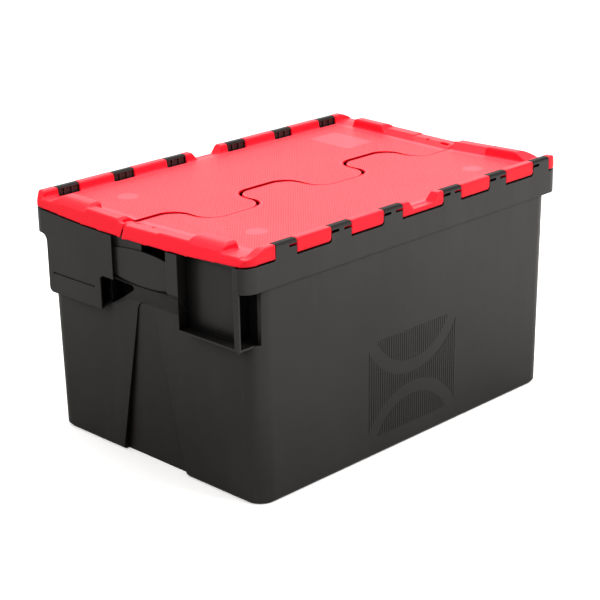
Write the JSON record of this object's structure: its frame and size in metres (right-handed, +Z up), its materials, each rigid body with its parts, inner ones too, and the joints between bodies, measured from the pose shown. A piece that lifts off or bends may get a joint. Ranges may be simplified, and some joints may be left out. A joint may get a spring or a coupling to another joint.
{
  "type": "attached lid tote",
  "caption": "Straight-sided stacking tote with hinged interlocking lid halves, knuckle hinges, end grips and seal slots.",
  "frame": {"origin": "centre of the base, on the floor", "axes": "+X along the long side, +Y from the front hinge side to the rear hinge side, +Z up"},
  "size_m": [0.6, 0.4006, 0.3301],
  "materials": {
    "container": "satin moulded polypropylene, black",
    "front_lid": "satin moulded polypropylene, red, fine pips on the flat sheet",
    "rear_lid": "satin moulded polypropylene, red, fine pips on the flat sheet"
  },
  "bodies": {
    "container": {"container": "container"},
    "front_lid": {"front_lid": "front_lid"},
    "rear_lid": {"rear_lid": "rear_lid"}
  },
  "joints": [
    {"name": "front_lid_hinge", "type": "hinge", "parent": "container", "child": "front_lid", "pos_m": [0, -0.195, 0.323], "axis": [1, 0, 0], "range_deg": [0, 250]},
    {"name": "rear_lid_hinge", "type": "hinge", "parent": "container", "child": "rear_lid", "pos_m": [0, 0.195, 0.323], "axis": [-1, 0, 0], "range_deg": [0, 250]}
  ]
}
